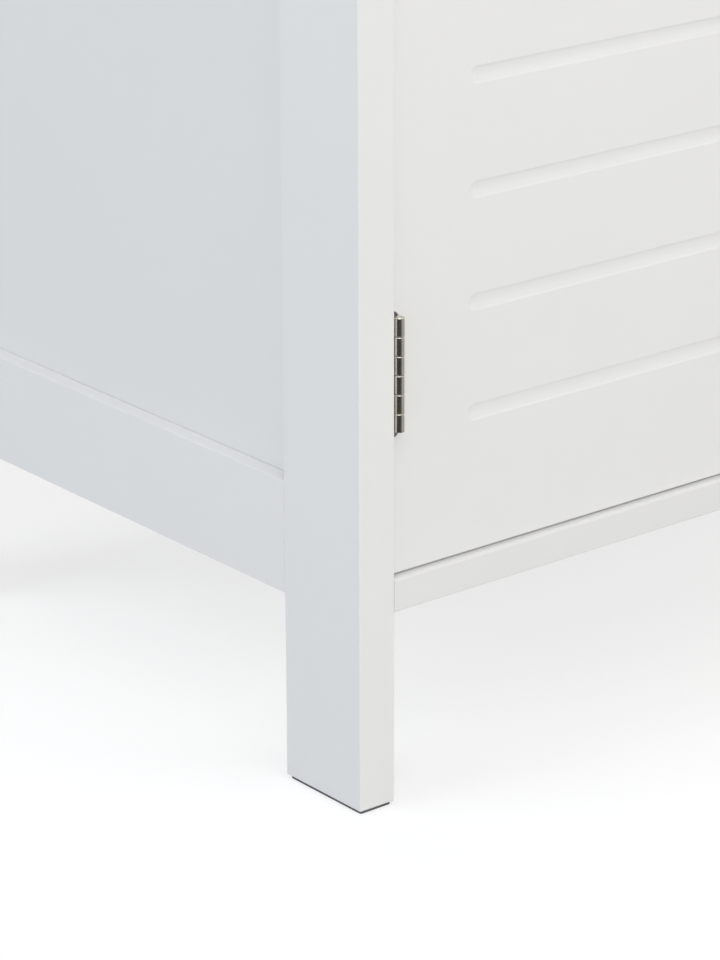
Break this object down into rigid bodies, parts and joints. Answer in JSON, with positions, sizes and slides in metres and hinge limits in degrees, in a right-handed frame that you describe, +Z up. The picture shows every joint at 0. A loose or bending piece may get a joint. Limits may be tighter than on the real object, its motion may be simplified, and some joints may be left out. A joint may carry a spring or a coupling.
{
  "type": "louvre-look door cabinet",
  "caption": "White free-standing floor cabinet on legs with panelled sides, a shelf inside and inset doors routed with horizontal grooves like louvres, hung on butt hinges.",
  "frame": {"origin": "on the floor, at the centre of the overall box with both doors closed", "axes": "+Z up, +X to the right along the front, +Y from the front to the back, so the doors face -Y"},
  "size_m": [0.6, 0.377, 0.7915],
  "materials": {
    "white_paint": "satin white paint",
    "back_board": "white lacquered hardboard",
    "dowel_wood": "plain beech",
    "nickel": "satin nickel plate",
    "zinc_steel": "zinc plate",
    "cam_zinc": "die cast",
    "catch_plastic": "moulded",
    "magnet_ferrite": "sintered",
    "plain_steel": "bright steel",
    "pad_rubber": "matt"
  },
  "bodies": {
    "carcass": {"leg_front_left": "white_paint", "leg_front_right": "white_paint", "leg_back_left": "white_paint", "leg_back_right": "white_paint", "side_rail_lower_left": "white_paint", "side_rail_lower_right": "white_paint", "side_rail_upper_left": "white_paint", "side_rail_upper_right": "white_paint", "side_panel_left": "white_paint", "side_panel_right": "white_paint", "bottom_panel": "white_paint", "front_stretcher": "white_paint", "rear_stretcher": "white_paint", "top_panel": "white_paint", "shelf": "white_paint", "back_panel": "back_board", "frame_dowels": "dowel_wood", "panel_dowels": "dowel_wood", "hinge_frame_leaf_lower_left": "nickel", "hinge_frame_leaf_lower_right": "nickel", "hinge_pin_lower_left": "nickel", "hinge_pin_lower_right": "nickel", "hinge_frame_leaf_upper_left": "nickel", "hinge_frame_leaf_upper_right": "nickel", "hinge_pin_upper_left": "nickel", "hinge_pin_upper_right": "nickel", "top_screws": "zinc_steel", "back_panel_screws": "zinc_steel", "catch_screws": "zinc_steel", "shelf_pins": "zinc_steel", "hinge_frame_screws_left": "zinc_steel", "hinge_frame_screws_right": "zinc_steel", "cam_bolts": "cam_zinc", "cam_locks": "cam_zinc", "catch_housing_left": "catch_plastic", "catch_housing_right": "catch_plastic", "catch_magnets": "magnet_ferrite", "catch_poles": "plain_steel", "foot_pad_front_left": "pad_rubber", "foot_pad_front_right": "pad_rubber", "foot_pad_back_left": "pad_rubber", "foot_pad_back_right": "pad_rubber"},
    "left_door": {"door_left": "white_paint", "hinge_door_leaf_lower_left": "nickel", "hinge_door_leaf_upper_left": "nickel", "hinge_door_screws_left": "zinc_steel", "knob_left": "nickel", "knob_screw_left": "zinc_steel", "strike_plate_left": "plain_steel", "strike_screws_left": "zinc_steel"},
    "right_door": {"door_right": "white_paint", "hinge_door_leaf_lower_right": "nickel", "hinge_door_leaf_upper_right": "nickel", "hinge_door_screws_right": "zinc_steel", "knob_right": "nickel", "knob_screw_right": "zinc_steel", "strike_plate_right": "plain_steel", "strike_screws_right": "zinc_steel"}
  },
  "joints": [
    {"name": "left_door_hinge", "type": "hinge", "parent": "carcass", "child": "left_door", "pos_m": [-0.2686, -0.16627, 0.4307], "axis": [0, 0, -1], "range_deg": [0, 180]},
    {"name": "right_door_hinge", "type": "hinge", "parent": "carcass", "child": "right_door", "pos_m": [0.2686, -0.16627, 0.4307], "axis": [0, 0, 1], "range_deg": [0, 180]}
  ]
}
